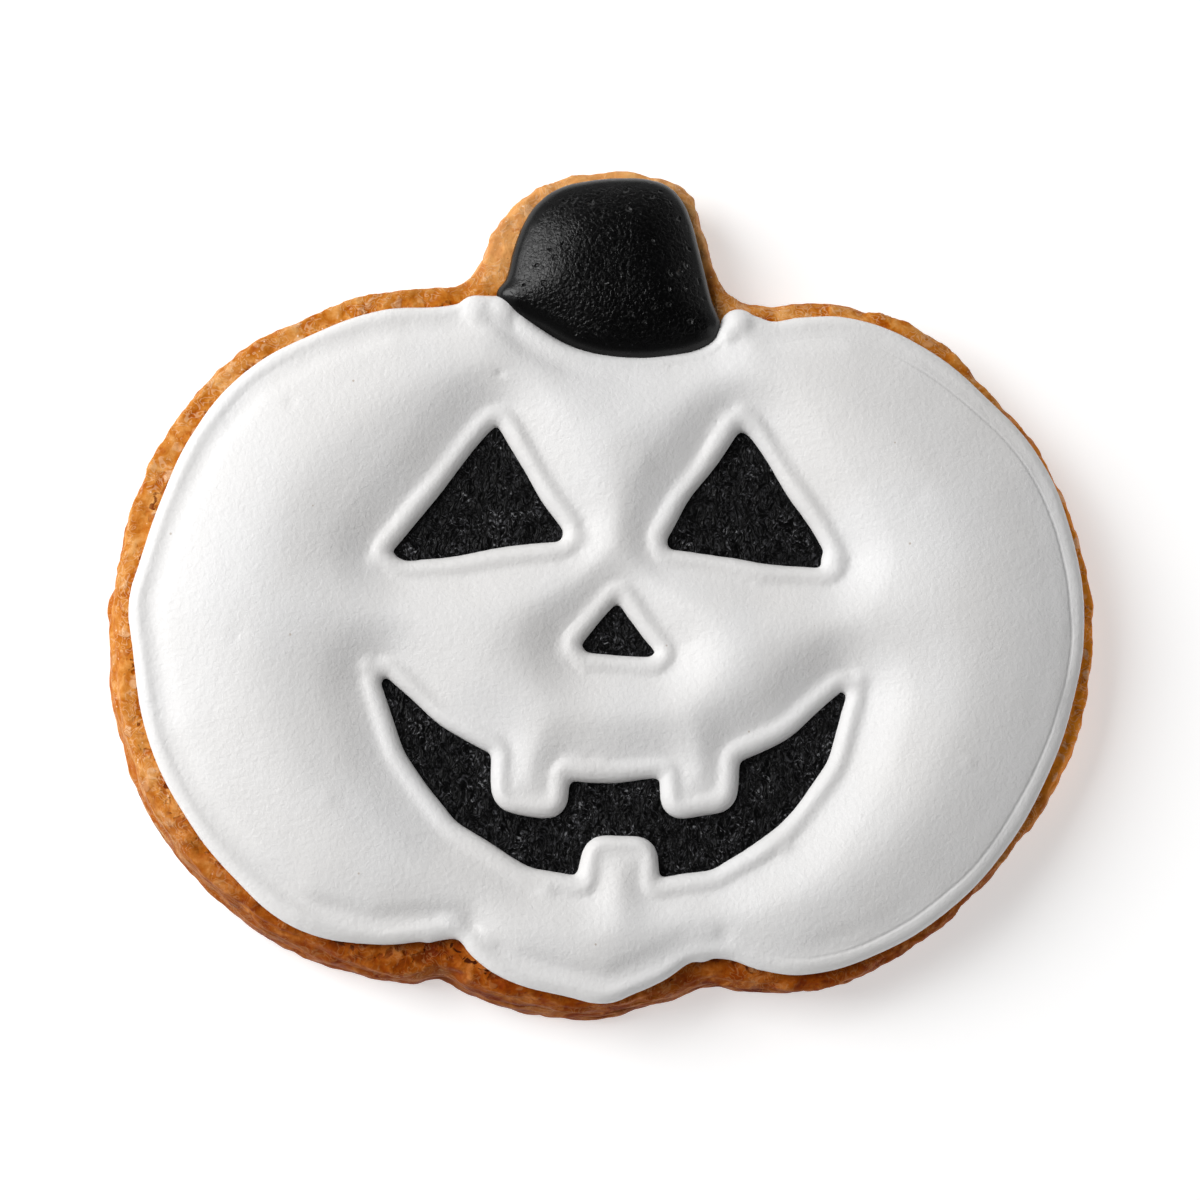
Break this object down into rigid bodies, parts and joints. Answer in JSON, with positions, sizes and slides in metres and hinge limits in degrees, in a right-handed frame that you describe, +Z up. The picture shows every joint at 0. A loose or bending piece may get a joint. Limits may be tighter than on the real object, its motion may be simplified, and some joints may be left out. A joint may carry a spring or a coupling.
{
  "type": "iced pumpkin cookie",
  "caption": "Flat pumpkin-shaped gingerbread biscuit with a thick domed white icing, piped openings for a lantern face filled with black, and a black iced stem.",
  "frame": {"origin": "middle of the outline's bounding box, on the flat underside that it lies on", "axes": "+X to the right across the iced face, +Y towards the stem, +Z up out of the icing"},
  "size_m": [0.1002, 0.0867, 0.0111],
  "materials": {
    "gingerbread": "matt",
    "white icing": "satin",
    "black icing": "satin"
  },
  "bodies": {
    "root": {"biscuit": "gingerbread", "white_icing": "white icing", "left_eye": "black icing", "right_eye": "black icing", "nose": "black icing", "mouth": "black icing", "stem_icing": "black icing"}
  },
  "joints": []
}
